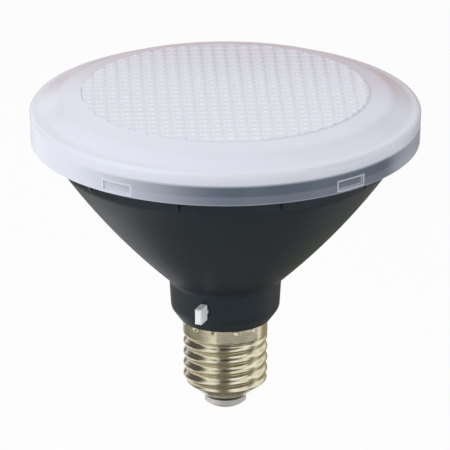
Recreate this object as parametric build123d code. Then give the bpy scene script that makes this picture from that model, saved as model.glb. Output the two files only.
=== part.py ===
from build123d import *
import os
from math import atan2, cos, pi, sin, sqrt, tan

os.makedirs("parts", exist_ok=True)

# Reflector lamp with a screw cap, lens upwards. Sizes are in millimetres and degrees.
# Z runs up the axis from the tip of the centre contact, and the front faces -Y.

# Screw cap: a rolled round thread, 7 turns to the inch
thread_crest_d = 26.2
thread_pitch = 3.629
thread_arc_r = 1.025
thread_points = 24
thread_start_turn = -44
cap_length = 25.0
cap_sheet = 0.5
cap_mouth_d = 15.2
cap_taper_h = 4.4
collar_d = 26.3
collar_h = 5.4
collar_round = 0.7
stake_count = 12
stake_turn = 15.0
stake_r = 0.9
stake_depth = 0.3
stake_drop = 0.7

# Centre contact and the insulator that carries it
contact_d = 13.0
contact_h = 4.0
contact_rim = 1.6
contact_stem_d = 3.0
insulator_h = 1.2
insulator_top = 3.6
insulator_gap = 0.05

# Lens cover, from the rim in to the beaded disc
cover_d = 120.0
cover_wall = 1.8
skirt_h = 10.0
skirt_draft = 0.3
skirt_drop = 2.9
rim_round = 1.4
shelf_w = 3.0
shelf_rise = 0.4
shelf_round = 4.2
ogee_w = 6.0
ogee_rise = 2.9
ogee_round = 5.6
ring_w = 6.4
ring_rise = 1.1
disc_step_w = 0.8
disc_step_h = 0.6
bead_pitch = 3.8
bead_depth = 0.5
bead_shave = 0.04
bead_turn = 2.6
clamp_ring_in = 2.3
clamp_ring_t = 2.0
pocket_count = 5
pocket_turn = -33.0
pocket_w = 9.6
pocket_h = 2.8
pocket_depth = 0.7
pocket_edge = 0.9
hook_reach = 1.9
hook_h = 1.6
hook_gap = 0.2

# Housing: neck, cone, band and rim
wall = 1.9
spigot_gap = 0.1
spigot_length = 17.2
spigot_wall = 1.8
lip_d = 28.4
neck_low_d = 33.7
neck_top_d = 34.8
neck_h = 13.2
neck_chamfer_h = 3.7
neck_round = 3.5
neck_blend = 3.0
cone_h = 39.1
cone_bulge = 1.5
shoulder_round = 2.5
band_h = 9.6
flange_gap = 0.7
flange_w = 5.9
flange_t = 1.4
rim_lip_t = 1.6
rim_lip_h = 1.6
rib_count = 10
rib_turn = -16.3
rib_t = 1.3
rib_foot_drop = 1.6
rib_edge_in = 0.4

# Heat spreader, light board and its screws
tray_sheet = 1.2
tray_depth = 6.0
tray_gap = 0.3
lead_hole_d = 8.0
board_gap = 7.6
board_t = 1.2
board_lead_hole_d = 7.0
chip_size = 3.0
chip_t = 0.7
chip_ring_r = (13.0, 25.0)
chip_ring_count = (6, 12)
screw_count = 3
screw_edge = 6.5
screw_d = 2.9
screw_hole_gap = 0.05
board_hole_gap = 0.2
screw_head_d = 5.6
screw_head_h = 1.9
screw_length = 5.0
screw_slot_length = 3.4
screw_slot_w = 0.8
screw_slot_depth = 0.9

# Driver board and the pieces on it, square to the selector's direction
selector_turn = -21.8
driver_edge_gap = 0.3
driver_h = 42.0
driver_t = 1.6
driver_out = 9.2
driver_lift = 4.0
column_gap = 0.8
rail_t = 1.2
rail_w = 1.6
rail_h = 10.0
rail_gap = 0.1
rail_bite = 0.5
bulk_can_d = 10.0
bulk_can_h = 16.0
output_can_d = 8.0
output_can_h = 12.0
can_round = 0.8
can_groove_z = 2.0
can_groove_r = 0.4
can_groove_depth = 0.2
film_size = (10.0, 9.0, 5.0)
film_edge = 0.8
bobbin_size = 12.4
bobbin_foot = 2.0
bobbin_cheek = 1.0
bobbin_drum_d = 8.0
winding_d = 9.6
winding_gap = 0.1
winding_end_gap = 0.5
core_t = 5.0
core_leg = 2.6
core_depth = 11.0
rectifier_size = (4.8, 2.4, 3.9)
rectifier_edge = 0.3
resistor_d = 3.4
resistor_length = 9.0
resistor_round = 0.4
resistor_leg_d = 0.7
resistor_lift = 0.8
driver_chip_size = (3.9, 1.5, 4.9)
driver_chip_edge = 0.4

# Slide selector: switch case and knob
knob_w = 2.1
knob_h = 4.9
knob_end_edge = 0.35
knob_out = 5.85
knob_rise = 7.7
knob_travel = 2.0
knob_gap = 0.2
knob_stem_h = 1.2
knob_foot = (3.4, 1.2, 3.4)
knob_grip_gap = 0.2
switch_size = (9.4, 3.4, 6.2)
switch_sheet = 0.5

# Leads
lead_d = 1.3
lead_gap = 0.1
lead_bend = 2.5
lead_overlap = 4.0
live_x = -2.4
neutral_x = 2.4
output_x = 1.5
solder_rise = 0.6

# Heights up the axis
cap_z = contact_h + insulator_h
lip_z = cap_z + cap_length
neck_top_z = lip_z + neck_h
cone_top_z = neck_top_z + cone_h
flange_z = cone_top_z + band_h
flange_top_z = flange_z + flange_t
rim_lip_z = flange_top_z + rim_lip_h
tray_top_z = flange_top_z + tray_sheet
tray_floor_z = flange_top_z - tray_depth
board_z = tray_floor_z + tray_sheet
board_top_z = board_z + board_t
skirt_z = flange_z - skirt_drop
rim_z = skirt_z + skirt_h
shelf_z = rim_z + shelf_rise
ogee_z = shelf_z + ogee_rise
ring_z = ogee_z + ring_rise
disc_z = ring_z + disc_step_h
driver_z = lip_z + driver_lift
knob_z = lip_z + knob_rise

# Radii that follow from the sizes above
crest_r = thread_crest_d / 2
root_r = crest_r - 2 * (thread_arc_r - sqrt(thread_arc_r**2 - (thread_pitch / 4) ** 2))
cap_bore_r = root_r - cap_sheet
cap_slope = (crest_r - cap_mouth_d / 2) / cap_taper_h
spigot_r = cap_bore_r - spigot_gap
spigot_bore_r = spigot_r - spigot_wall
neck_bore_r = neck_low_d / 2 - wall
cover_r = cover_d / 2
skirt_r = cover_r - skirt_draft
skirt_in_r = skirt_r - cover_wall
shelf_r = cover_r - shelf_w
ogee_r = shelf_r - ogee_w
ring_r = ogee_r - ring_w
disc_r = ring_r - disc_step_w
flange_r = skirt_in_r - flange_gap
seat_r = flange_r - rim_lip_t
band_r = flange_r - flange_w
band_bore_r = band_r - wall
cone_lean = atan2(band_r - neck_top_d / 2, cone_h)
tray_r = band_bore_r - tray_gap
tray_edge_r = seat_r - tray_gap
board_r = tray_r - tray_sheet - board_gap

# Places on the driver board, which fills the neck's bore from side to side
driver_in = driver_out - driver_t
driver_w = 2 * sqrt((neck_bore_r - driver_edge_gap) ** 2 - driver_out**2)
middle_z = driver_z + driver_h / 2
upper_z = driver_z + driver_h - lead_overlap - bobbin_size / 2 - core_leg - lead_d
rail_z = driver_z + rail_h / 2
lead_y = -driver_in + lead_d / 2 + lead_gap
drum_length = core_depth + bobbin_foot

# What is drawn towards +X is turned to the front, and the driver's pieces to the selector
to_front = Rot(0, 0, -90)
to_selector = Rot(0, 0, selector_turn)


def turned(profile):
    return revolve(Plane.XZ * profile, axis=Axis.Z)


def rounded(profile, corner, radius):
    return fillet(profile.vertices().sort_by_distance(corner)[0], radius)


def around(piece, count, first_turn):
    return [Rot(0, 0, first_turn + 360 / count * i) * piece for i in range(count)]


def block(size, centre):
    return Pos(*centre) * Box(*size)


def peg(diameter, length, start, rotation=(0, 0, 0)):
    align = (Align.CENTER, Align.CENTER, Align.MIN)
    return Pos(*start) * Rot(*rotation) * Cylinder(diameter / 2, length, align=align)


def cap_taper(z, inset=0.0):
    return cap_mouth_d / 2 + cap_slope * (z - cap_z) - inset * sqrt(1 + cap_slope**2)


def thread_radius(share):
    rise = min(share, 1 - share) * thread_pitch
    if rise <= thread_pitch / 4:
        return crest_r - thread_arc_r + sqrt(thread_arc_r**2 - rise**2)
    return root_r + thread_arc_r - sqrt(thread_arc_r**2 - (thread_pitch / 2 - rise) ** 2)


def cap_thread():
    # Every cut across the thread is one closed curve, so the thread is that curve extruded with a twist
    ring = []
    for i in range(thread_points):
        angle = 2 * pi * i / thread_points
        radius = thread_radius(i / thread_points)
        ring.append((radius * cos(angle), radius * sin(angle)))
    section = make_face(Spline(*ring, periodic=True)).face()
    height = cap_length - collar_h / 2
    twist = 360 * height / thread_pitch
    twisted = Solid.extrude_linear_with_rotation(section, (0, 0, 0), (0, 0, height), twist)
    return Pos(0, 0, cap_z) * Rot(0, 0, thread_start_turn) * twisted


def make_screw_shell():
    outer_r = crest_r + cap_sheet
    foot = Polyline(
        (0, cap_z),
        (cap_mouth_d / 2, cap_z),
        (outer_r, cap_z + cap_taper_h + cap_sheet / cap_slope),
        (outer_r, lip_z),
        (0, lip_z),
        close=True,
    )
    threaded = cap_thread() & turned(make_face(foot))
    collar_r = collar_d / 2
    collar_z = lip_z - collar_h
    collar = Polyline((0, collar_z), (collar_r, collar_z), (collar_r, lip_z), (0, lip_z), close=True)
    collar = rounded(make_face(collar), (collar_r, collar_z), collar_round)
    bore_start = cap_z + (cap_bore_r - cap_taper(cap_z, cap_sheet)) / cap_slope
    bore = Polyline(
        (0, cap_z),
        (cap_taper(cap_z, cap_sheet), cap_z),
        (cap_bore_r, bore_start),
        (cap_bore_r, lip_z),
        (0, lip_z),
        close=True,
    )
    dent = Pos(0, -collar_r - stake_r + stake_depth, lip_z - stake_drop) * Sphere(stake_r)
    return threaded + turned(collar) - turned(make_face(bore)) - around(dent, stake_count, stake_turn)


def make_base_insulator():
    mouth = cap_taper(cap_z, cap_sheet) - insulator_gap
    inset = cap_sheet + insulator_gap
    top = cap_z + insulator_top
    outline = Polyline(
        (contact_stem_d / 2 + insulator_gap, contact_h),
        (contact_d / 2, contact_h),
        (cap_mouth_d / 2, cap_z),
        (mouth, cap_z),
        (cap_taper(top, inset), top),
        (contact_stem_d / 2 + insulator_gap, top),
        close=True,
    )
    return turned(make_face(outline))


def make_centre_contact():
    edge = (contact_d / 2, contact_h - contact_rim)
    sphere_r = (edge[0] ** 2 + edge[1] ** 2) / (2 * edge[1])
    half = atan2(edge[0], sphere_r - edge[1]) / 2
    middle = (sphere_r * sin(half), sphere_r * (1 - cos(half)))
    outline = ThreePointArc((0, 0), middle, edge)
    outline += Polyline(edge, (contact_d / 2, contact_h), (0, contact_h), (0, 0))
    stem = peg(contact_stem_d, insulator_h + insulator_top, (0, 0, contact_h))
    return turned(make_face(outline)) + stem


def bulged(start, end, bulge):
    lean = atan2(end[0] - start[0], end[1] - start[1])
    middle_x = (start[0] + end[0]) / 2 + bulge * cos(lean)
    middle_y = (start[1] + end[1]) / 2 - bulge * sin(lean)
    return ThreePointArc(start, (middle_x, middle_y), end)


def housing_body():
    neck_low = (neck_low_d / 2, lip_z + neck_chamfer_h)
    neck_top = (neck_top_d / 2, neck_top_z)
    cone_top = (band_r, cone_top_z)
    outline = Polyline((0, rim_lip_z), (0, lip_z), (lip_d / 2, lip_z), neck_low, neck_top)
    outline += bulged(neck_top, cone_top, cone_bulge)
    outline += Polyline(
        cone_top,
        (band_r, flange_z),
        (flange_r, flange_z),
        (flange_r, rim_lip_z),
        (0, rim_lip_z),
    )
    profile = rounded(make_face(outline), neck_low, neck_round)
    profile = rounded(profile, neck_top, neck_blend)
    return turned(rounded(profile, cone_top, shoulder_round))


def housing_cavity(grow=0.0):
    slope = (neck_low_d - lip_d) / 2 / neck_chamfer_h
    floor_z = lip_z + wall - grow
    floor_r = lip_d / 2 + slope * wall - wall * sqrt(1 + slope**2) + grow
    neck_r = neck_bore_r + grow
    neck_start = (neck_r, floor_z + (neck_r - floor_r) / slope)
    corner = wall * tan(cone_lean / 2)
    neck_end = (neck_top_d / 2 - wall + grow, neck_top_z + corner)
    band_start = (band_bore_r + grow, cone_top_z + corner)
    outline = Polyline((0, rim_lip_z), (0, floor_z), (floor_r, floor_z), neck_start, neck_end)
    outline += bulged(neck_end, band_start, cone_bulge)
    outline += Polyline(
        band_start,
        (band_bore_r + grow, flange_top_z),
        (seat_r, flange_top_z),
        (seat_r, rim_lip_z),
        (0, rim_lip_z),
    )
    return turned(make_face(outline))


def housing_rib():
    foot_z = cone_top_z - rib_foot_drop
    foot_r = band_r - rib_foot_drop * tan(cone_lean)
    edge_r = flange_r - rib_edge_in
    outline = Polyline(
        (foot_r - wall / 2, foot_z),
        (foot_r, foot_z),
        (edge_r, flange_z),
        (edge_r, flange_top_z),
        (band_r - wall / 2, flange_top_z),
        close=True,
    )
    return to_front * extrude(Plane.XZ * make_face(outline), rib_t / 2, both=True)


def driver_rails():
    # Behind each edge of the driver board stands a rail, with a stop below the edge
    rail_y = -driver_in + rail_gap + rail_t / 2
    stop_h = driver_lift - wall
    stop_depth = driver_t + rail_gap + rail_t
    stop_y = -driver_out + stop_depth / 2
    inside = housing_cavity(rail_bite)
    rails = []
    for x in (-driver_w / 2, driver_w / 2):
        rails.append(inside & block((2 * rail_w, rail_t, rail_h), (x, rail_y, rail_z)))
        rails.append(inside & block((2 * rail_w, stop_depth, stop_h), (x, stop_y, driver_z - stop_h / 2)))
    return rails


def knob_slot(depth_from, depth_to):
    # The slot takes the lever's stem, and its grip stands outside and hides the slot
    width = knob_w + knob_travel + 2 * knob_gap
    centre = (-knob_travel / 2, -(depth_from + depth_to) / 2, knob_z)
    return block((width, depth_to - depth_from, knob_stem_h + 2 * knob_gap), centre)


def make_housing():
    spigot = peg(2 * spigot_r, spigot_length + wall, (0, 0, lip_z - spigot_length))
    spigot_bore = peg(2 * spigot_bore_r, spigot_length + 2 * wall, (0, 0, lip_z - spigot_length))
    ribs = around(housing_rib(), rib_count, rib_turn)
    shell = housing_body() + spigot + ribs - housing_cavity() - spigot_bore
    slot = knob_slot(neck_bore_r - wall, neck_top_d / 2 + wall)
    return shell + [to_selector * rail for rail in driver_rails()] - to_selector * slot


def cover_corners(inset, drop):
    # Corners of the cover's top, from the ring out to the shelf
    ring = (ring_r - inset, ring_z - drop)
    ogee = (ogee_r - inset, ogee_z - drop)
    shelf = (shelf_r - inset, shelf_z - drop)
    return ring, ogee, shelf


def bead_comb():
    # A comb of arches: what two crossed combs leave of the disc is a field of pillow-shaped beads
    rows = int(disc_r / bead_pitch) + 1
    half = bead_pitch / 2
    end_x = (2 * rows + 1) * half
    crest_z = disc_z + bead_shave
    valley_z = crest_z - bead_depth
    lift_z = disc_z + bead_pitch
    outline = Polyline((-end_x, valley_z), (-end_x, lift_z), (end_x, lift_z), (end_x, valley_z))
    for i in range(-rows, rows + 1):
        x = i * bead_pitch
        outline += ThreePointArc((x - half, valley_z), (x, crest_z), (x + half, valley_z))
    return extrude(Plane.XZ * make_face(outline), end_x, both=True)


def cover_shell():
    ring, ogee, shelf = cover_corners(0, 0)
    under_ring, under_ogee, under_shelf = cover_corners(cover_wall / 2, cover_wall)
    rim = (cover_r, rim_z)
    outline = Polyline(
        (0, disc_z),
        (disc_r, disc_z),
        ring,
        ogee,
        shelf,
        rim,
        (skirt_r, skirt_z),
        (skirt_in_r, skirt_z),
        (cover_r - cover_wall, rim_z - cover_wall),
        under_shelf,
        under_ogee,
        under_ring,
        (0, under_ring[1]),
        close=True,
    )
    profile = rounded(make_face(outline), rim, rim_round)
    profile = rounded(profile, shelf, shelf_round)
    profile = rounded(profile, ogee, ogee_round)
    comb = bead_comb()
    return turned(profile) - Rot(0, 0, bead_turn) * comb - Rot(0, 0, bead_turn + 90) * comb


def clamp_ring():
    # The ring stands on the heat spreader's edge and grows into the cover's underside
    _, under_ogee, under_shelf = cover_corners(cover_wall / 2, cover_wall)
    slope = (under_ogee[1] - under_shelf[1]) / (under_shelf[0] - under_ogee[0])
    outer_r = tray_edge_r - clamp_ring_in
    inner_r = outer_r - clamp_ring_t
    height = under_shelf[1] + slope * (under_shelf[0] - inner_r) - tray_top_z
    start = (0, 0, tray_top_z)
    return peg(2 * outer_r, height, start) - peg(2 * inner_r, height, start)


def clip_hook():
    root_r = skirt_in_r + cover_wall / 2
    tip_r = skirt_in_r - hook_reach
    top_z = flange_z - hook_gap
    outline = Polyline(
        (root_r, top_z - hook_h),
        (skirt_in_r, top_z - hook_h),
        (tip_r, top_z - hook_h / 2),
        (tip_r, top_z),
        (root_r, top_z),
        close=True,
    )
    return to_front * extrude(Plane.XZ * make_face(outline), pocket_w / 2, both=True)


def make_lens_cover():
    pocket_z = skirt_z + pocket_edge + pocket_h / 2
    pocket = block((pocket_w, 2 * pocket_depth, pocket_h), (0, -skirt_r, pocket_z))
    hooks = around(clip_hook(), pocket_count, pocket_turn)
    return cover_shell() + clamp_ring() + hooks - around(pocket, pocket_count, pocket_turn)


def screw_places(z):
    place = Pos(0, board_r - screw_edge, z)
    return [Rot(0, 0, 360 / screw_count * i) * place for i in range(screw_count)]


def make_heat_spreader():
    inner_r = tray_r - tray_sheet
    outline = Polyline(
        (lead_hole_d / 2, tray_floor_z),
        (tray_r, tray_floor_z),
        (tray_r, flange_top_z),
        (tray_edge_r, flange_top_z),
        (tray_edge_r, tray_top_z),
        (inner_r, tray_top_z),
        (inner_r, board_z),
        (lead_hole_d / 2, board_z),
        close=True,
    )
    hole = Cylinder(screw_d / 2 + screw_hole_gap, 4 * tray_sheet)
    return turned(make_face(outline)) - [place * hole for place in screw_places(tray_floor_z)]


def make_light_board():
    start = (0, 0, board_z)
    board = peg(2 * board_r, board_t, start) - peg(board_lead_hole_d, board_t, start)
    hole = Cylinder(screw_d / 2 + board_hole_gap, 4 * board_t)
    return board - [place * hole for place in screw_places(board_z)]


def make_light_chips():
    chip = block((chip_size, chip_size, chip_t), (0, 0, chip_t / 2))
    chips = []
    for radius, count in zip(chip_ring_r, chip_ring_count):
        chips += around(Pos(0, radius, board_top_z) * chip, count, 180 / count)
    return Compound(children=chips)


def make_board_screws():
    head = peg(screw_head_d, screw_head_h, (0, 0, 0))
    head = fillet(head.edges().group_by(Axis.Z)[-1], screw_head_h / 2)
    slot_z = screw_head_h - screw_slot_depth / 2
    slot = block((screw_slot_length, screw_slot_w, screw_slot_depth), (0, 0, slot_z))
    screw = head - slot - Rot(0, 0, 90) * slot + peg(screw_d, screw_length, (0, 0, -screw_length))
    return Compound(children=[place * screw for place in screw_places(board_top_z)])


def make_driver_board():
    centre = (0, -(driver_out + driver_in) / 2, middle_z)
    return to_selector * block((driver_w, driver_t, driver_h), centre)


def left_of_gap(width):
    return -(width + column_gap) / 2


def right_of_gap(width):
    return (width + column_gap) / 2


def on_driver(piece, x, z):
    return to_selector * Pos(x, -driver_in, z) * piece


def standing_can(diameter, height):
    can = peg(diameter, height, (0, 0, 0))
    can = fillet(can.edges().group_by(Axis.Z)[-1], can_round)
    groove_r = diameter / 2 + can_groove_r - can_groove_depth
    groove = Pos(0, 0, can_groove_z) * Torus(groove_r, can_groove_r)
    return Rot(-90, 0, 0) * (can - groove)


def standing_box(size, edge):
    box = block(size, (0, size[1] / 2, 0))
    return fillet(box.edges().filter_by(Axis.Y), edge)


def make_bobbin():
    foot = block((bobbin_size, bobbin_foot, bobbin_size), (0, bobbin_foot / 2, 0))
    drum = peg(bobbin_drum_d, drum_length, (0, 0, 0), (-90, 0, 0))
    cheek_y = drum_length - bobbin_cheek / 2
    cheek = block((bobbin_size, bobbin_cheek, bobbin_size), (0, cheek_y, 0))
    return foot + drum + cheek


def make_winding():
    length = drum_length - bobbin_foot - bobbin_cheek - 2 * winding_end_gap
    coil = peg(winding_d, length, (0, bobbin_foot + winding_end_gap, 0), (-90, 0, 0))
    return coil - peg(bobbin_drum_d + 2 * winding_gap, drum_length, (0, 0, 0), (-90, 0, 0))


def make_core():
    # Two legs and a bridge clip round the winding, clear of the bobbin's cheeks
    reach = drum_length + core_leg
    legs = block((core_t, reach, bobbin_size + 2 * core_leg), (0, reach / 2 + winding_gap, 0))
    depth = drum_length + winding_gap
    return legs - block((2 * core_t, depth, bobbin_size + 2 * winding_gap), (0, depth / 2, 0))


def make_resistor():
    lift = resistor_d / 2 + resistor_lift
    body = peg(resistor_d, resistor_length, (-resistor_length / 2, lift, 0), (0, 90, 0))
    body = fillet(body.edges(), resistor_round)
    span = resistor_length + 2 * resistor_leg_d
    wire = peg(resistor_leg_d, span, (-span / 2, lift, 0), (0, 90, 0))
    for x in (-span / 2, span / 2):
        wire += peg(resistor_leg_d, lift + resistor_leg_d / 2, (x, 0, 0), (-90, 0, 0))
    return body + wire


def make_driver_chip():
    size = driver_chip_size
    chip = block(size, (0, -driver_out - size[1] / 2, middle_z))
    return to_selector * chamfer(chip.faces().sort_by(Axis.Y)[0].edges(), driver_chip_edge)


def make_switch_case():
    centre = (-knob_travel / 2, -driver_out - switch_size[1] / 2, knob_z)
    hollow_w = knob_foot[0] + knob_travel + 2 * knob_gap
    hollow_h = knob_foot[2] + 2 * knob_gap
    hollow = block((hollow_w, switch_size[1] - 2 * switch_sheet, hollow_h), centre)
    slot = knob_slot(-centre[1], driver_out + 2 * switch_size[1])
    return to_selector * (block(switch_size, centre) - hollow - slot)


def make_selector_knob():
    foot_y = driver_out + switch_size[1] / 2
    grip_y = neck_top_d / 2 + knob_grip_gap
    end_y = neck_low_d / 2 + knob_out
    foot = block(knob_foot, (0, -foot_y, knob_z))
    stem = block((knob_w, grip_y - foot_y, knob_stem_h), (0, -(grip_y + foot_y) / 2, knob_z))
    grip = block((knob_w, end_y - grip_y, knob_h), (0, -(end_y + grip_y) / 2, knob_z))
    grip = chamfer(grip.faces().sort_by(Axis.Y)[0].edges(), knob_end_edge)
    return to_selector * (foot + stem + grip)


def lead(points):
    path = FilletPolyline(*points, radius=lead_bend)
    section = Plane(origin=path @ 0, z_dir=path % 0) * Circle(lead_d / 2)
    return to_selector * sweep(section, path)


def rise_to_driver(x):
    return [(x, lead_y, driver_z - lead_bend), (x, lead_y, driver_z + lead_overlap)]


def make_live_lead():
    start_z = cap_z + insulator_top + lead_gap
    turn_z = lip_z - spigot_length / 2
    return lead([(0, 0, start_z), (0, 0, turn_z)] + rise_to_driver(live_x))


def make_neutral_lead():
    start_x = cap_bore_r - lead_gap
    start_z = lip_z - spigot_length - lead_d
    inner_x = spigot_bore_r - lead_d - lead_bend
    turn_z = lip_z - spigot_length / 2
    points = [(start_x, 0, start_z), (inner_x, 0, start_z), (inner_x, 0, turn_z)]
    return lead(points + rise_to_driver(neutral_x))


def make_output_leads():
    top_z = driver_z + driver_h
    pair = []
    for x in (-output_x, output_x):
        points = [(x, lead_y, top_z - lead_overlap), (x, lead_y, top_z + lead_bend)]
        points += [(x, 0, tray_floor_z - 2 * lead_bend), (x, 0, board_top_z + solder_rise)]
        pair.append(lead(points))
    return Compound(children=pair)


bobbin_x = right_of_gap(bobbin_size)
bulk_can = standing_can(bulk_can_d, bulk_can_h)
output_can = standing_can(output_can_d, output_can_h)
output_can_z = upper_z - bobbin_size / 2 - core_leg - column_gap - output_can_d / 2
film = standing_box(film_size, film_edge)
film_z = upper_z - (bulk_can_d + film_size[2]) / 2 - column_gap
rectifier = standing_box(rectifier_size, rectifier_edge)
resistor_x = rail_w - driver_w / 2 + column_gap + (resistor_length + 3 * resistor_leg_d) / 2
resistor_z = driver_z + lead_overlap + (column_gap + resistor_d) / 2
rectifier_z = film_z - column_gap - (film_size[2] + rectifier_size[2]) / 2

pieces = {
    "screw_shell": make_screw_shell(),
    "base_insulator": make_base_insulator(),
    "centre_contact": make_centre_contact(),
    "housing": make_housing(),
    "lens_cover": make_lens_cover(),
    "heat_spreader": make_heat_spreader(),
    "light_board": make_light_board(),
    "light_chips": make_light_chips(),
    "board_screws": make_board_screws(),
    "driver_board": make_driver_board(),
    "bulk_capacitor": on_driver(bulk_can, left_of_gap(bulk_can_d), upper_z),
    "output_capacitor": on_driver(output_can, right_of_gap(output_can_d), output_can_z),
    "film_capacitor": on_driver(film, left_of_gap(film_size[0]), film_z),
    "transformer_bobbin": on_driver(make_bobbin(), bobbin_x, upper_z),
    "transformer_winding": on_driver(make_winding(), bobbin_x, upper_z),
    "transformer_core": on_driver(make_core(), bobbin_x, upper_z),
    "bridge_rectifier": on_driver(rectifier, left_of_gap(rectifier_size[0]), rectifier_z),
    "fuse_resistor": on_driver(make_resistor(), resistor_x, resistor_z),
    "driver_chip": make_driver_chip(),
    "switch_case": make_switch_case(),
    "selector_knob": make_selector_knob(),
    "live_lead": make_live_lead(),
    "neutral_lead": make_neutral_lead(),
    "output_leads": make_output_leads(),
}

for name, piece in pieces.items():
    export_step(piece, f"parts/{name}.step")
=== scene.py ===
import bpy
import math
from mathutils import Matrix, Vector


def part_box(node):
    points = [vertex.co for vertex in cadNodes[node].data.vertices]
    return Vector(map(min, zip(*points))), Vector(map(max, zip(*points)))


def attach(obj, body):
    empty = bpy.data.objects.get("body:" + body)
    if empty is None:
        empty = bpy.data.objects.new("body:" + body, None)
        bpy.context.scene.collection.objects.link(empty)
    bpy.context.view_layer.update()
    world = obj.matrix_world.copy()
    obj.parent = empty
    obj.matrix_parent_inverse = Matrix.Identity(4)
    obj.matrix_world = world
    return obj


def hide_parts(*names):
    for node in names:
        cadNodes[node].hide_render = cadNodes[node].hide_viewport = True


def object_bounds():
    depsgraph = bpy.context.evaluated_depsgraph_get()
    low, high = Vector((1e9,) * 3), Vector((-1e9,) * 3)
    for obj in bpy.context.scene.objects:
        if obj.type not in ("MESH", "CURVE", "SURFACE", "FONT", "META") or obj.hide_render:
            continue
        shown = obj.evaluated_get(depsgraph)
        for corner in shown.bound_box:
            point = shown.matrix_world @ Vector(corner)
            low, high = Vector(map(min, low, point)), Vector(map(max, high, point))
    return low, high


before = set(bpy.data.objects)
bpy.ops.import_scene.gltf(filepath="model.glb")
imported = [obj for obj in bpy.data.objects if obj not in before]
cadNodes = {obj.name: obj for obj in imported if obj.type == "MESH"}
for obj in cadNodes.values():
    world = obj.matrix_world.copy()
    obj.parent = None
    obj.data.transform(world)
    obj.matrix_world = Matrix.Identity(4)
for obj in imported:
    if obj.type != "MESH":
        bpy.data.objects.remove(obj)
cadLow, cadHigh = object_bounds()
print("frame loaded:", len(cadNodes), "nodes")


# small helpers for node trees

def addNode(tree, kind, settings=None, inputs=None):
    node = tree.nodes.new(kind)
    for name, value in (settings or {}).items():
        setattr(node, name, value)
    for name, value in (inputs or {}).items():
        plug(tree, value, node.inputs[name])
    return node


def plug(tree, value, socket):
    if isinstance(value, bpy.types.NodeSocket):
        tree.links.new(value, socket)
    else:
        socket.default_value = value


def sums(tree, operation, *values):
    node = tree.nodes.new("ShaderNodeMath")
    node.operation = operation
    for i, value in enumerate(values):
        plug(tree, value, node.inputs[i])
    return node.outputs[0]


def square(tree, value):
    return sums(tree, "POWER", value, 2.0)


def ramp(tree, value, low, high):
    # 0 at low, 1 at high, eased between them
    node = addNode(tree, "ShaderNodeMapRange", {"interpolation_type": "SMOOTHSTEP"}, {
        "Value": value, "From Min": low, "From Max": high})
    return node.outputs[0]


def fade(tree, share, least):
    # least where share is 0, and 1 where it is 1
    return sums(tree, "MULTIPLY_ADD", share, 1.0 - least, least)


def blend(tree, share, first, second):
    # the colours of a Mix node are inputs 6 and 7 and output 2
    mixed = addNode(tree, "ShaderNodeMix", {"data_type": "RGBA"})
    for place, value in ((0, share), (6, first), (7, second)):
        plug(tree, value, mixed.inputs[place])
    return mixed.outputs[2]


def newGroup(name, kind, inputs, outputs):
    group = bpy.data.node_groups.new(name, kind)
    for label, socketType in inputs:
        group.interface.new_socket(label, in_out="INPUT", socket_type=socketType)
    for label, socketType in outputs:
        group.interface.new_socket(label, in_out="OUTPUT", socket_type=socketType)
    start = group.nodes.new("NodeGroupInput")
    end = group.nodes.new("NodeGroupOutput")
    return group, start.outputs, end.inputs


# shared surface effects

finishInputs = [
    ("Vector", "NodeSocketVector"),
    ("Tone", "NodeSocketColor"),
    ("Shade", "NodeSocketColor"),
    ("Grain Scale", "NodeSocketFloat"),
    ("Cloud Scale", "NodeSocketFloat"),
    ("Gloss", "NodeSocketFloat"),
    ("Gloss Spread", "NodeSocketFloat"),
]
finishOutputs = [
    ("Colour", "NodeSocketColor"),
    ("Roughness", "NodeSocketFloat"),
    ("Height", "NodeSocketFloat"),
]
fineDetail = 3.0
slowDetail = 2.0
noiseMean = 0.5
lineStretch = (0.06, 0.06, 1.0)
lineRange = (0.1, 0.4)


def noise(group, vector, scale, detail):
    texture = addNode(group, "ShaderNodeTexNoise", None, {
        "Vector": vector, "Scale": scale, "Detail": detail})
    return texture.outputs["Fac"]


def endFinish(group, given, made, share, clouds, height):
    # what every finish puts out: its colour, its gloss, which follows the clouds, and its relief
    plug(group, blend(group, share, given["Shade"], given["Tone"]), made["Colour"])
    swing = sums(group, "SUBTRACT", clouds, noiseMean)
    swing = sums(group, "MULTIPLY", swing, given["Gloss Spread"])
    plug(group, sums(group, "ADD", given["Gloss"], swing), made["Roughness"])
    plug(group, height, made["Height"])


def buildMouldedGrain():
    # spark-eroded grain with slow clouds of tone, as on moulded plastic
    group, given, made = newGroup("mouldedGrain", "ShaderNodeTree", finishInputs, finishOutputs)
    grain = noise(group, given["Vector"], given["Grain Scale"], fineDetail)
    clouds = noise(group, given["Vector"], given["Cloud Scale"], slowDetail)
    endFinish(group, given, made, clouds, clouds, grain)
    return group


def buildRolledMetal():
    # fine lines that run round the axis, left by the rolling and turning tools
    group, given, made = newGroup("rolledMetal", "ShaderNodeTree", finishInputs, finishOutputs)
    stretched = addNode(group, "ShaderNodeMapping", None, {
        "Vector": given["Vector"], "Scale": lineStretch})
    lines = noise(group, stretched.outputs[0], given["Grain Scale"], fineDetail)
    clouds = noise(group, given["Vector"], given["Cloud Scale"], fineDetail)
    share = addNode(group, "ShaderNodeMapRange", None, {
        "Value": sums(group, "MULTIPLY", lines, clouds),
        "From Min": lineRange[0], "From Max": lineRange[1]})
    endFinish(group, given, made, share.outputs[0], clouds, lines)
    return group


mouldedGrain = buildMouldedGrain()
rolledMetal = buildRolledMetal()
usualStrength = 0.5


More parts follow.
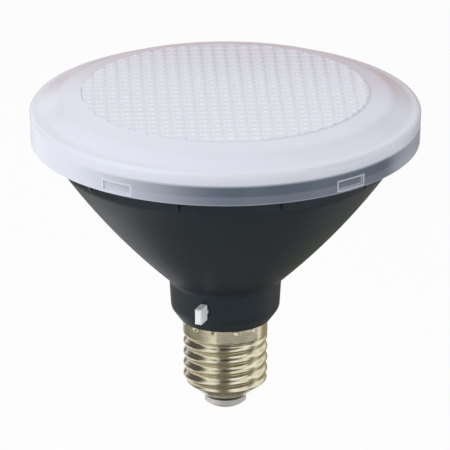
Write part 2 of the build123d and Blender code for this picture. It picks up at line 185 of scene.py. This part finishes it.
def makeFinish(name, group, finish):
    material = bpy.data.materials.new(name)
    material.use_nodes = True
    tree = material.node_tree
    shader = tree.nodes["Principled BSDF"]
    place = addNode(tree, "ShaderNodeTexCoord")
    effect = addNode(tree, "ShaderNodeGroup", {"node_tree": group}, {
        "Vector": place.outputs["Object"],
        "Tone": (*finish["tone"], 1.0),
        "Shade": (*finish["shade"], 1.0),
        "Grain Scale": finish["grainScale"],
        "Cloud Scale": finish["cloudScale"],
        "Gloss": finish["gloss"],
        "Gloss Spread": finish["glossSpread"],
    })
    bump = addNode(tree, "ShaderNodeBump", None, {
        "Height": effect.outputs["Height"],
        "Distance": finish["grainDepth"],
        "Strength": finish.get("grainStrength", usualStrength),
    })
    plug(tree, effect.outputs["Colour"], shader.inputs["Base Color"])
    plug(tree, effect.outputs["Roughness"], shader.inputs["Roughness"])
    plug(tree, bump.outputs[0], shader.inputs["Normal"])
    for socketName, value in finish.get("sockets", {}).items():
        shader.inputs[socketName].default_value = value
    return material


def dress(nodeName, material):
    for slot in cadNodes[nodeName].material_slots:
        slot.material = material


# lens cover: milky moulding, beads on its disc with painted highlights and painted shade, and
# painted shade where the rim of the housing shows through its skirt

lensCover = dict(
    tone=(0.83, 0.86, 0.97),
    shade=(0.80, 0.83, 0.94),
    grainScale=900.0,
    cloudScale=40.0,
    grainDepth=0.00004,
    grainStrength=0.3,
    gloss=0.24,
    glossSpread=0.06,
    sockets={
        "Transmission Weight": 0.08, "IOR": 1.49,
        "Coat IOR": 1.49, "Coat Roughness": 0.14,
    },
    beadPitch=0.0038,
    beadShift=100.5,
    beadTurn=2.6,
    beadReach=0.0436,
    discBlur=0.0002,
    stepReach=(0.0012, 0.0008),
    beadSoft=0.68,
    skinShare=0.9,
    discTone=(0.84, 0.88, 1.0),
    discShare=0.9,
    # painted highlight on the crown of each bead
    beadHighlightTone=(0.95, 0.965, 1.0),
    beadHighlightReach=(0.0007, 0.0012),
    beadHighlightCore=0.1,
    beadHighlightShare=0.9,
    # painted shade in the hollows round the disc: at its step and on the ogee
    hollowShadeTone=(0.10, 0.12, 0.16),
    stepShade=0.06,
    ogeeMiddle=0.0516,
    ogeeReach=0.0034,
    ogeeShade=0.03,
    # painted shade of the housing rim seen through the skirt, a little lighter below the rim's
    # foot
    rimShadeTone=(0.108, 0.140, 0.190),
    rimReach=0.0575,
    rimBlur=0.0003,
    rimTop=0.09538,
    rimSoft=0.0007,
    rimFoot=0.09197,
    rimFootShare=0.91,
    # painted shade that fades in above the rim
    shadeFadeTop=0.0982,
    shadeFadeShare=0.10,
    # painted highlight along the skirt's lower edge
    edgeHighlightTop=0.0896,
    edgeHighlightBlur=0.0002,
    edgeHighlightShare=0.85,
    # painted light on the left and at the right end, which lifts the painted rim shade
    leftLightTurn=-72.0,
    leftLightWidth=(15.0, 77.0),
    leftLightShare=0.02,
    rightLightReach=(0.047, 0.0585),
    rightLightShare=0.45,
    # clip pockets, with painted highlight lines on their edges
    pocketCount=5,
    pocketShift=10.5,
    pocketTurn=-33.0,
    pocketSize=(0.0096, 0.0028),
    pocketMiddle=0.0915,
    pocketLine=(0.0003, 0.0006),
    pocketHighlight=0.6,
)


def beadOffset(tree, across):
    # distance from the middle of the nearest bead; the shift keeps the count of beads above 0
    pitch = lensCover["beadPitch"]
    count = sums(tree, "MULTIPLY_ADD", across, 1.0 / pitch, lensCover["beadShift"])
    share = sums(tree, "SUBTRACT", sums(tree, "FRACT", count), 0.5)
    return sums(tree, "MULTIPLY", share, pitch)


def discHighlightAndShade(tree, place, reach):
    # painted highlight on the crown of each bead, and painted shade in the hollows round the
    # beaded disc: at its step and on the ogee
    look = lensCover
    level = addNode(tree, "ShaderNodeMapping", {"vector_type": "TEXTURE"}, {
        "Vector": place, "Rotation": (0.0, 0.0, math.radians(look["beadTurn"]))})
    grid = addNode(tree, "ShaderNodeSeparateXYZ", None, {"Vector": level.outputs[0]}).outputs
    edge = look["beadReach"]
    inDisc = ramp(tree, reach, edge + look["discBlur"], edge - look["discBlur"])
    inStep = ramp(tree, reach, *[edge + width for width in look["stepReach"]])
    step = sums(tree, "MULTIPLY", inStep, sums(tree, "SUBTRACT", 1.0, inDisc))
    offOgee = sums(tree, "ABSOLUTE", sums(tree, "SUBTRACT", reach, look["ogeeMiddle"]))
    inOgee = ramp(tree, offOgee, look["ogeeReach"], 0.0)
    hollowShade = sums(tree, "MULTIPLY", inOgee, look["ogeeShade"])
    hollowShade = sums(tree, "MULTIPLY_ADD", step, look["stepShade"], hollowShade)
    # painted highlight on the crown of each bead
    spans = []
    for i, width in enumerate(look["beadHighlightReach"]):
        spans.append(square(tree, sums(tree, "DIVIDE", beadOffset(tree, grid[i]), width)))
    highlightSpot = ramp(tree, sums(tree, "ADD", *spans), 1.0, look["beadHighlightCore"])
    beadHighlight = sums(tree, "MULTIPLY", highlightSpot, sums(tree, "MULTIPLY", inDisc, look["beadHighlightShare"]))
    return inDisc, hollowShade, beadHighlight


def softenBeads(tree, shader, inDisc):
    # milky plastic scatters light inside, so its beads shade less than an opaque relief would;
    # the vectors of a Mix node are inputs 4 and 5 and output 1
    upright = addNode(tree, "ShaderNodeVectorTransform", {
        "vector_type": "NORMAL", "convert_from": "OBJECT", "convert_to": "WORLD",
    }, {"Vector": (0.0, 0.0, 1.0)}).outputs[0]
    soft = addNode(tree, "ShaderNodeMix", {"data_type": "VECTOR"})
    plug(tree, sums(tree, "MULTIPLY", inDisc, lensCover["beadSoft"]), soft.inputs[0])
    plug(tree, addNode(tree, "ShaderNodeNewGeometry").outputs["Normal"], soft.inputs[4])
    plug(tree, upright, soft.inputs[5])
    bump = shader.inputs["Normal"].links[0].from_node
    plug(tree, soft.outputs[1], bump.inputs["Normal"])

    # a smooth clear skin over the beads mirrors the room evenly
    skin = sums(tree, "MULTIPLY", inDisc, lensCover["skinShare"])
    plug(tree, skin, shader.inputs["Coat Weight"])
    plug(tree, upright, shader.inputs["Coat Normal"])


def rimShadeShare(tree, axes, reach, turn):
    # painted shade of the housing rim seen through the skirt; painted light lifts it on the left
    # and at the right end, and a painted highlight lightens the skirt's lower edge
    look = lensCover
    rimShade = ramp(tree, reach, look["rimReach"] - look["rimBlur"], look["rimReach"])
    top, foot, edge = look["rimTop"], look["rimFoot"], look["edgeHighlightTop"]
    below = ramp(tree, axes[2], top + look["rimSoft"], top - look["rimSoft"])
    # painted shade fades in above the rim
    shadeFade = ramp(tree, axes[2], look["shadeFadeTop"], top)
    below = sums(tree, "MAXIMUM", below, sums(tree, "MULTIPLY", shadeFade, look["shadeFadeShare"]))
    # painted highlight along the skirt's lower edge
    above = ramp(tree, axes[2], edge - look["edgeHighlightBlur"], edge + look["edgeHighlightBlur"])
    full = ramp(tree, axes[2], foot - look["rimBlur"], foot + look["rimBlur"])
    # painted light on the left lifts the painted shade
    aside = sums(tree, "SUBTRACT", turn, math.radians(look["leftLightTurn"]))
    aside = sums(tree, "ABSOLUTE", aside)
    clear = ramp(tree, aside, *[math.radians(width) for width in look["leftLightWidth"]])
    # painted light at the right end lifts it too
    rightLight = ramp(tree, axes[0], *look["rightLightReach"])
    shares = (
        below,
        fade(tree, above, look["edgeHighlightShare"]),
        fade(tree, full, look["rimFootShare"]),
        fade(tree, clear, look["leftLightShare"]),
        sums(tree, "MULTIPLY_ADD", rightLight, look["rightLightShare"] - 1.0, 1.0),
    )
    for share in shares:
        rimShade = sums(tree, "MULTIPLY", rimShade, share)
    return rimShade


def pocketHighlightShare(tree, axes, reach, turn):
    # painted highlight lines on the moulded edges of the clip pockets, where the painted rim shade
    # is lifted; the shift keeps the count of pockets above 0
    look = lensCover
    spacing = 2 * math.pi / look["pocketCount"]
    count = sums(tree, "SUBTRACT", turn, math.radians(look["pocketTurn"]))
    count = sums(tree, "MULTIPLY_ADD", count, 1.0 / spacing, look["pocketShift"])
    share = sums(tree, "SUBTRACT", sums(tree, "FRACT", count), 0.5)
    along = sums(tree, "MULTIPLY", sums(tree, "MULTIPLY", share, spacing), reach)
    across = sums(tree, "SUBTRACT", axes[2], look["pocketMiddle"])
    offs = []
    for value, size in zip((along, across), look["pocketSize"]):
        offs.append(sums(tree, "SUBTRACT", sums(tree, "ABSOLUTE", value), size / 2))
    off = sums(tree, "ABSOLUTE", sums(tree, "MAXIMUM", *offs))
    inner, outer = look["pocketLine"]
    line = ramp(tree, off, outer, inner)
    return sums(tree, "MULTIPLY_ADD", line, -look["pocketHighlight"], 1.0)


def makeCover():
    material = makeFinish("milkyCover", mouldedGrain, lensCover)
    tree = material.node_tree
    shader = tree.nodes["Principled BSDF"]
    colour = shader.inputs["Base Color"].links[0].from_socket
    place = addNode(tree, "ShaderNodeTexCoord").outputs["Object"]
    axes = addNode(tree, "ShaderNodeSeparateXYZ", None, {"Vector": place}).outputs
    reach = sums(tree, "ADD", square(tree, axes[0]), square(tree, axes[1]))
    reach = sums(tree, "SQRT", reach)
    turn = sums(tree, "ARCTAN2", axes[0], sums(tree, "MULTIPLY", axes[1], -1.0))

    inDisc, hollowShade, beadHighlight = discHighlightAndShade(tree, place, reach)
    softenBeads(tree, shader, inDisc)
    rimShade = rimShadeShare(tree, axes, reach, turn)
    rimShade = sums(tree, "MULTIPLY", rimShade, pocketHighlightShare(tree, axes, reach, turn))
    # painted shade round the disc, the disc's own tone, painted bead highlights and painted rim
    # shade are laid on in turn
    disc = sums(tree, "MULTIPLY", inDisc, lensCover["discShare"])
    layers = ((hollowShade, "hollowShadeTone"), (disc, "discTone"), (beadHighlight, "beadHighlightTone"), (rimShade, "rimShadeTone"))
    for share, tone in layers:
        colour = blend(tree, share, colour, (*lensCover[tone], 1.0))
    plug(tree, colour, shader.inputs["Base Color"])
    return material


dress("lens_cover", makeCover())

# housing: charcoal satin moulding

housing = dict(
    tone=(0.020, 0.028, 0.035),
    shade=(0.016, 0.023, 0.029),
    grainScale=1500.0,
    cloudScale=60.0,
    grainDepth=0.00005,
    gloss=0.46,
    glossSpread=0.12,
    sockets={"Specular IOR Level": 0.32, "Specular Tint": (0.86, 0.95, 1.0, 1.0)},
)
dress("housing", makeFinish("charcoalSatin", mouldedGrain, housing))

# selector lever: small white satin moulding

selectorLever = dict(
    tone=(0.94, 0.95, 0.98),
    shade=(0.90, 0.91, 0.95),
    grainScale=1800.0,
    cloudScale=200.0,
    grainDepth=0.00002,
    gloss=0.38,
    glossSpread=0.1,
)
dress("selector_knob", makeFinish("leverWhite", mouldedGrain, selectorLever))

# insulator: glossy black glass between the shell and the contact

insulatorGlass = dict(
    tone=(0.012, 0.012, 0.011),
    shade=(0.006, 0.006, 0.006),
    grainScale=700.0,
    cloudScale=250.0,
    grainDepth=0.00003,
    gloss=0.1,
    glossSpread=0.06,
    sockets={"Specular IOR Level": 0.6},
)
dress("base_insulator", makeFinish("blackGlass", mouldedGrain, insulatorGlass))

# centre contact: tinned brass dome

contactTin = dict(
    tone=(0.80, 0.785, 0.76),
    shade=(0.66, 0.645, 0.61),
    grainScale=2600.0,
    cloudScale=320.0,
    grainDepth=0.00002,
    gloss=0.46,
    glossSpread=0.16,
    sockets={"Metallic": 0.6},
)
dress("centre_contact", makeFinish("tinnedContact", rolledMetal, contactTin))

print("outer finishes done")


# screw shell: a strip of sheet rolled into a round thread, with a staked collar and tapered foot

capShell = dict(
    crestWidth=0.0262,
    pitch=0.003629,
    threadDepth=0.0011,
    startTurn=-44.0,
    footWidth=0.0152,
    footHeight=0.0044,
    cornerRound=0.0009,
    collarWidth=0.0263,
    collarHeight=0.0054,
    collarBlend=0.0007,
    stakeCount=12,
    stakeTurn=15.0,
    stakeSize=0.0010,
    stakeDepth=0.0003,
    stakeDrop=0.0007,
    sheet=0.0004,
    seamGap=0.000002,
    stepsAround=192,
    stepsUp=140,
)
capFinish = dict(
    tone=(0.86, 0.80, 0.62),
    shade=(0.64, 0.58, 0.41),
    grainScale=5200.0,
    cloudScale=260.0,
    grainDepth=0.00002,
    gloss=0.17,
    glossSpread=0.10,
    sockets={"Metallic": 1.0},
)
socketKinds = {float: "NodeSocketFloat", int: "NodeSocketInt"}


def buildRolledCap(material, values):
    sizes = [(name, socketKinds[type(value)]) for name, value in values.items()]
    outputs = [("Geometry", "NodeSocketGeometry")]
    tree, given, made = newGroup("rolledCap", "GeometryNodeTree", sizes, outputs)

    grid = addNode(tree, "GeometryNodeMeshGrid", None, {
        "Size X": 1.0, "Size Y": 1.0,
        "Vertices X": given["Steps Around"], "Vertices Y": given["Steps Up"]})
    flat = addNode(tree, "ShaderNodeSeparateXYZ", None, {
        "Vector": addNode(tree, "GeometryNodeInputPosition").outputs[0]})
    turn = sums(tree, "ADD", flat.outputs[0], 0.5)
    level = sums(tree, "ADD", flat.outputs[1], 0.5)
    height = sums(tree, "SUBTRACT", given["High"], given["Low"])
    rise = sums(tree, "MULTIPLY", level, height)

    # thread: the crest climbs one pitch in each turn
    climb = sums(tree, "DIVIDE", rise, given["Pitch"])
    phase = sums(tree, "SUBTRACT", turn, sums(tree, "DIVIDE", given["Start Turn"], 360.0))
    phase = sums(tree, "SUBTRACT", phase, climb)
    wave = sums(tree, "COSINE", sums(tree, "MULTIPLY", phase, 2 * math.pi))
    half = sums(tree, "MULTIPLY", given["Thread Depth"], 0.5)
    middle = sums(tree, "SUBTRACT", given["Crest Radius"], half)
    thread = sums(tree, "MULTIPLY_ADD", wave, half, middle)

    # foot: a taper that closes towards the insulator
    spread = sums(tree, "SUBTRACT", given["Crest Radius"], given["Foot Radius"])
    slope = sums(tree, "DIVIDE", spread, given["Foot Height"])
    taper = sums(tree, "MULTIPLY_ADD", rise, slope, given["Foot Radius"])
    body = sums(tree, "SMOOTH_MIN", thread, taper, given["Corner Round"])

    # collar: a plain band above the thread
    collarLevel = sums(tree, "SUBTRACT", height, given["Collar Height"])
    ease = ramp(
        tree, rise,
        sums(tree, "SUBTRACT", collarLevel, given["Collar Blend"]),
        sums(tree, "ADD", collarLevel, given["Collar Blend"]))
    gain = sums(tree, "SUBTRACT", given["Collar Radius"], body)
    radius = sums(tree, "MULTIPLY_ADD", gain, ease, body)

    # stakes: small dents close under the collar's upper edge
    stakes = sums(tree, "SUBTRACT", turn, sums(tree, "DIVIDE", given["Stake Turn"], 360.0))
    stakes = sums(tree, "MULTIPLY_ADD", stakes, given["Stake Count"], 0.5)
    share = sums(tree, "SUBTRACT", sums(tree, "FRACT", stakes), 0.5)
    arc = sums(tree, "MULTIPLY", given["Collar Radius"], 2 * math.pi)
    across = sums(tree, "MULTIPLY", share, sums(tree, "DIVIDE", arc, given["Stake Count"]))
    stakeLevel = sums(tree, "SUBTRACT", height, given["Stake Drop"])
    along = sums(tree, "SUBTRACT", rise, stakeLevel)
    spot = sums(tree, "ADD", square(tree, across), square(tree, along))
    spot = sums(tree, "DIVIDE", spot, square(tree, given["Stake Size"]))
    dent = sums(tree, "MAXIMUM", sums(tree, "SUBTRACT", 1.0, spot), 0.0)
    dent = sums(tree, "MULTIPLY", dent, given["Stake Depth"])
    radius = sums(tree, "SUBTRACT", radius, dent)

    angle = sums(tree, "MULTIPLY", turn, 2 * math.pi)
    point = addNode(tree, "ShaderNodeCombineXYZ", None, {
        "X": sums(tree, "MULTIPLY", radius, sums(tree, "COSINE", angle)),
        "Y": sums(tree, "MULTIPLY", radius, sums(tree, "SINE", angle)),
        "Z": sums(tree, "ADD", given["Low"], rise)})
    wrapped = addNode(tree, "GeometryNodeSetPosition", None, {
        "Geometry": grid.outputs["Mesh"], "Position": point.outputs[0]})
    closed = addNode(tree, "GeometryNodeMergeByDistance", None, {
        "Geometry": wrapped.outputs[0], "Distance": capShell["seamGap"]})
    smooth = addNode(tree, "GeometryNodeSetShadeSmooth", None, {"Geometry": closed.outputs[0]})
    real = addNode(tree, "GeometryNodeRealizeInstances", None, {"Geometry": smooth.outputs[0]})
    painted = addNode(tree, "GeometryNodeSetMaterial", None, {
        "Geometry": real.outputs[0], "Material": material})
    plug(tree, painted.outputs[0], made["Geometry"])
    return tree


def plainMesh(name, tree, values, finishers=()):
    # runs a tree once, then keeps only the mesh that it makes
    maker = bpy.data.objects.new(name + "Maker", bpy.data.meshes.new(name + "Maker"))
    bpy.context.scene.collection.objects.link(maker)
    modifier = maker.modifiers.new("shape", "NODES")
    modifier.node_group = tree
    for item in tree.interface.items_tree:
        if item.in_out == "INPUT" and item.name in values:
            modifier[item.identifier] = values[item.name]
    for kind, settings in finishers:
        extra = maker.modifiers.new(kind.lower(), kind)
        for label, value in settings.items():
            setattr(extra, label, value)
    ready = maker.evaluated_get(bpy.context.evaluated_depsgraph_get())
    mesh = bpy.data.meshes.new_from_object(ready)
    bpy.data.objects.remove(maker)
    piece = bpy.data.objects.new(name, mesh)
    bpy.context.scene.collection.objects.link(piece)
    return piece


def makeCapShell():
    low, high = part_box("screw_shell")
    values = {
        "Crest Radius": capShell["crestWidth"] / 2,
        "Thread Depth": capShell["threadDepth"],
        "Pitch": capShell["pitch"],
        "Start Turn": capShell["startTurn"],
        "Foot Radius": capShell["footWidth"] / 2,
        "Foot Height": capShell["footHeight"],
        "Corner Round": capShell["cornerRound"],
        "Collar Radius": capShell["collarWidth"] / 2,
        "Collar Height": capShell["collarHeight"],
        "Collar Blend": capShell["collarBlend"],
        "Stake Count": float(capShell["stakeCount"]),
        "Stake Turn": capShell["stakeTurn"],
        "Stake Size": capShell["stakeSize"],
        "Stake Depth": capShell["stakeDepth"],
        "Stake Drop": capShell["stakeDrop"],
        "Low": low.z,
        "High": high.z,
        "Steps Around": capShell["stepsAround"] + 1,
        "Steps Up": capShell["stepsUp"],
    }
    tree = buildRolledCap(makeFinish("nickelShell", rolledMetal, capFinish), values)
    wall = ("SOLIDIFY", {"thickness": capShell["sheet"], "offset": -1.0})
    return plainMesh("rolledCap", tree, values, [wall])


rolledCap = makeCapShell()
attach(rolledCap, "lamp")
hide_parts("screw_shell")
print("screw shell done:", len(rolledCap.data.polygons), "faces")


# pieces inside the housing, each with the finish of its kind

innerPlastics = dict(
    light_board=dict(tone=(0.86, 0.86, 0.84), shade=(0.82, 0.82, 0.80), gloss=0.4),
    light_chips=dict(tone=(0.88, 0.66, 0.16), shade=(0.82, 0.58, 0.12), gloss=0.3),
    driver_board=dict(tone=(0.020, 0.130, 0.055), shade=(0.014, 0.100, 0.042), gloss=0.35),
    bulk_capacitor=dict(tone=(0.018, 0.020, 0.026), shade=(0.012, 0.013, 0.018), gloss=0.28),
    output_capacitor=dict(tone=(0.020, 0.040, 0.150), shade=(0.015, 0.030, 0.120), gloss=0.28),
    film_capacitor=dict(tone=(0.360, 0.070, 0.030), shade=(0.300, 0.055, 0.024), gloss=0.3),
    transformer_bobbin=dict(tone=(0.030, 0.029, 0.028), shade=(0.022, 0.021, 0.020), gloss=0.5),
    transformer_core=dict(tone=(0.045, 0.045, 0.048), shade=(0.030, 0.030, 0.032), gloss=0.6),
    bridge_rectifier=dict(tone=(0.020, 0.020, 0.021), shade=(0.014, 0.014, 0.015), gloss=0.5),
    fuse_resistor=dict(tone=(0.160, 0.330, 0.310), shade=(0.130, 0.280, 0.260), gloss=0.45),
    driver_chip=dict(tone=(0.018, 0.018, 0.019), shade=(0.012, 0.012, 0.013), gloss=0.55),
    live_lead=dict(tone=(0.420, 0.034, 0.026), shade=(0.360, 0.026, 0.020), gloss=0.38),
    neutral_lead=dict(tone=(0.022, 0.022, 0.023), shade=(0.016, 0.016, 0.017), gloss=0.38),
    output_leads=dict(tone=(0.740, 0.730, 0.700), shade=(0.680, 0.670, 0.640), gloss=0.38),
)
innerMetals = dict(
    heat_spreader=dict(tone=(0.80, 0.81, 0.82), shade=(0.68, 0.69, 0.70), gloss=0.34),
    board_screws=dict(tone=(0.70, 0.70, 0.69), shade=(0.56, 0.55, 0.53), gloss=0.26),
    transformer_winding=dict(tone=(0.62, 0.25, 0.09), shade=(0.48, 0.17, 0.05), gloss=0.24),
    switch_case=dict(tone=(0.72, 0.71, 0.68), shade=(0.60, 0.58, 0.54), gloss=0.3),
)
innerGrain = dict(grainScale=1600.0, cloudScale=140.0, grainDepth=0.00002, glossSpread=0.1)

for nodeName, look in innerPlastics.items():
    dress(nodeName, makeFinish(nodeName + "Finish", mouldedGrain, {**innerGrain, **look}))
for nodeName, look in innerMetals.items():
    metal = {**innerGrain, **look, "sockets": {"Metallic": 1.0}}
    dress(nodeName, makeFinish(nodeName + "Finish", rolledMetal, metal))
print("inner finishes done:", len(innerPlastics) + len(innerMetals), "pieces")


# pale floor, well below the hanging lamp, seen only from above

floorSet = dict(drop=0.12, reach=4.0, tone=(0.86, 0.86, 0.86), gloss=0.9, whiteShare=0.9)


def whiteRays(tree):
    # 1 for rays that look at the background, straight or by way of metal and glass
    path = addNode(tree, "ShaderNodeLightPath")
    seen = sums(tree, "MAXIMUM", path.outputs["Is Camera Ray"], path.outputs["Is Glossy Ray"])
    return sums(tree, "MAXIMUM", seen, path.outputs["Is Transmission Ray"])


def makePlane(name, corners, material):
    mesh = bpy.data.meshes.new(name)
    mesh.from_pydata(corners, [], [(0, 1, 2, 3)])
    mesh.materials.append(material)
    plane = bpy.data.objects.new(name, mesh)
    bpy.context.scene.collection.objects.link(plane)


def makeFloor():
    material = bpy.data.materials.new("paleFloor")
    material.use_nodes = True
    tree = material.node_tree
    shader = tree.nodes["Principled BSDF"]
    shader.inputs["Base Color"].default_value = (*floorSet["tone"], 1.0)
    shader.inputs["Roughness"].default_value = floorSet["gloss"]
    glow = addNode(tree, "ShaderNodeEmission")
    mixed = addNode(tree, "ShaderNodeMixShader")
    plug(tree, sums(tree, "MULTIPLY", whiteRays(tree), floorSet["whiteShare"]), mixed.inputs[0])
    plug(tree, shader.outputs[0], mixed.inputs[1])
    plug(tree, glow.outputs[0], mixed.inputs[2])
    clear = addNode(tree, "ShaderNodeBsdfTransparent")
    sided = addNode(tree, "ShaderNodeMixShader")
    plug(tree, addNode(tree, "ShaderNodeNewGeometry").outputs["Backfacing"], sided.inputs[0])
    plug(tree, mixed.outputs[0], sided.inputs[1])
    plug(tree, clear.outputs[0], sided.inputs[2])
    plug(tree, sided.outputs[0], tree.nodes["Material Output"].inputs["Surface"])
    r = floorSet["reach"]
    z = cadLow.z - floorSet["drop"]
    makePlane("floor", [(-r, -r, z), (r, -r, z), (r, r, z), (-r, r, z)], material)


makeFloor()

# grey and warm cards round and under the lamp, seen only in its reflections
# a flat card: inner and outer reach, first and last turn, tone
# an upright card: middle turn, width in degrees, reach, foot, top, tone

cardSet = dict(
    level=-0.10,
    stack=0.0005,
    soft=0.35,
    stepTurn=10.0,
    fewestSteps=4,
    middle=0.5,
    flats=(
        (0.0, 0.12, 0.0, 360.0, (0.17, 0.165, 0.13)),
        (0.12, 0.33, -100.0, 205.0, (0.10, 0.10, 0.09)),
        (0.42, 1.20, -80.0, 80.0, (0.10, 0.11, 0.13)),
        (0.42, 1.20, 50.0, 225.0, (0.22, 0.21, 0.20)),
        (0.25, 0.42, -190.0, -24.0, (0.24, 0.24, 0.21)),
    ),
    uprights=(
        (-8.0, 54.0, 0.26, -0.02, 0.55, (0.19, 0.185, 0.145)),
        (-104.0, 88.0, 0.50, -0.02, 0.60, (0.11, 0.11, 0.10)),
        (74.0, 30.0, 0.50, -0.02, 0.45, (0.20, 0.19, 0.17)),
        (140.0, 66.0, 0.50, -0.09, 0.45, (0.15, 0.14, 0.13)),
        (212.0, 44.0, 0.50, -0.02, 0.45, (0.20, 0.18, 0.16)),
        (180.0, 84.0, 0.95, -0.10, 0.39, (0.40, 0.36, 0.34)),
        (168.0, 110.0, 0.46, 0.06, 0.22, (0.36, 0.12, 0.02)),
        (136.0, 80.0, 0.135, -0.09, 0.055, (0.32, 0.30, 0.22)),
        (171.0, 86.0, 0.215, 0.125, 0.160, (0.30, 0.07, 0.02)),
    ),
)


def cardFinish(name, tone, soft):
    # the tone fades to white at a card's edges, so that no hard edge shows in the metal
    material = bpy.data.materials.new(name)
    material.use_nodes = True
    tree = material.node_tree
    tree.nodes.remove(tree.nodes["Principled BSDF"])
    place = addNode(tree, "ShaderNodeTexCoord")
    axes = addNode(tree, "ShaderNodeSeparateXYZ", None, {"Vector": place.outputs["UV"]}).outputs
    share = ramp(tree, axes[1], 1.0, 1.0 - soft)
    for low, high in ((0.0, soft), (1.0, 1.0 - soft)):
        share = sums(tree, "MULTIPLY", share, ramp(tree, axes[0], low, high))
    colour = blend(tree, share, (1.0, 1.0, 1.0, 1.0), (*tone, 1.0))
    glow = addNode(tree, "ShaderNodeEmission", None, {"Color": colour})
    plug(tree, glow.outputs[0], tree.nodes["Material Output"].inputs["Surface"])
    return material


def makeCard(name, points, faces, spots, material):
    mesh = bpy.data.meshes.new(name)
    mesh.from_pydata(points, [], faces)
    layer = mesh.uv_layers.new(name="cardPlace")
    for loop in mesh.loops:
        layer.data[loop.index].uv = spots[loop.vertex_index]
    mesh.materials.append(material)
    card = bpy.data.objects.new(name, mesh)
    bpy.context.scene.collection.objects.link(card)
    card.visible_camera = False
    card.visible_diffuse = False
    card.visible_transmission = False
    card.visible_volume_scatter = False
    card.visible_shadow = False


def onRing(turn, reach, level):
    angle = math.radians(turn)
    return (reach * math.sin(angle), -reach * math.cos(angle), level)


def makeCards():
    for i, (inner, outer, first, last, tone) in enumerate(cardSet["flats"]):
        name = "flatCard%d" % i
        level = cardSet["level"] + i * cardSet["stack"]
        steps = max(cardSet["fewestSteps"], int((last - first) / cardSet["stepTurn"]))
        points, spots = [], []
        for j in range(steps + 1):
            turn = first + (last - first) * j / steps
            points += [onRing(turn, inner, level), onRing(turn, outer, level)]
            u = cardSet["middle"] if last - first == 360.0 else j / steps
            spots += [(u, 0.0), (u, cardSet["middle"])]
        faces = [(2 * j, 2 * j + 1, 2 * j + 3, 2 * j + 2) for j in range(steps)]
        makeCard(name, points, faces, spots, cardFinish(name, tone, cardSet["soft"]))
    corners = [(0.0, 0.0), (1.0, 0.0), (1.0, 1.0), (0.0, 1.0)]
    for i, (turn, width, reach, low, top, tone) in enumerate(cardSet["uprights"]):
        name = "uprightCard%d" % i
        points = []
        for u, v in corners:
            side = turn + (u - cardSet["middle"]) * width
            points.append(onRing(side, reach, low + v * (top - low)))
        makeCard(name, points, [(0, 1, 2, 3)], corners, cardFinish(name, tone, cardSet["soft"]))


makeCards()

# soft studio light: even fill from the room, a large soft light from the upper left, and two
# small ones low in front

lightSet = dict(
    fill=0.62,
    lamps=dict(
        keyLight=dict(place=(-1.8, -0.3, 2.1), size=2.4, power=33.0),
        frontLight=dict(place=(1.1, -1.2, 0.06), size=0.7, power=3.2),
        sideLight=dict(place=(-1.3, -0.9, 0.02), size=0.7, power=3.6),
    ),
)


def makeWorld():
    world = bpy.data.worlds.new("studio")
    bpy.context.scene.world = world
    world.use_nodes = True
    tree = world.node_tree
    back = tree.nodes["Background"]
    back.inputs["Color"].default_value = (1.0, 1.0, 1.0, 1.0)
    lift = sums(tree, "MULTIPLY", whiteRays(tree), 1.0 - lightSet["fill"])
    plug(tree, sums(tree, "ADD", lift, lightSet["fill"]), back.inputs["Strength"])


def makeSoftLight(name, place, size, power):
    data = bpy.data.lights.new(name, "AREA")
    data.shape = "SQUARE"
    data.size = size
    data.energy = power
    lamp = bpy.data.objects.new(name, data)
    lamp.location = place
    lamp.visible_glossy = False
    aim = Vector((0.0, 0.0, cadHigh.z / 2)) - Vector(place)
    lamp.rotation_euler = aim.to_track_quat("-Z", "Y").to_euler()
    bpy.context.scene.collection.objects.link(lamp)


makeWorld()
for lampName, lampSizes in lightSet["lamps"].items():
    makeSoftLight(lampName, **lampSizes)

# camera: from 20 degrees above, a long lens, the lens cover in the upper part of the frame

cameraSet = dict(
    side=-0.0001,
    distance=1.6,
    elevation=20.0,
    lookDown=21.136,
    sightHeight=0.0942,
    focal=417.7,
    sensor=36.0,
)


def makeCamera():
    data = bpy.data.cameras.new("mainCamera")
    data.sensor_width = cameraSet["sensor"]
    data.lens = cameraSet["focal"]
    camera = bpy.data.objects.new("mainCamera", data)
    tilt = math.radians(cameraSet["elevation"])
    back = cameraSet["distance"] * math.cos(tilt)
    up = cameraSet["distance"] * math.sin(tilt)
    camera.location = (cameraSet["side"], -back, cameraSet["sightHeight"] + up)
    camera.rotation_euler = (math.radians(90.0 - cameraSet["lookDown"]), 0.0, 0.0)
    bpy.context.scene.collection.objects.link(camera)
    bpy.context.scene.camera = camera


makeCamera()
bpy.context.scene.view_settings.view_transform = "Standard"
print("studio done")

bpy.context.view_layer.update()
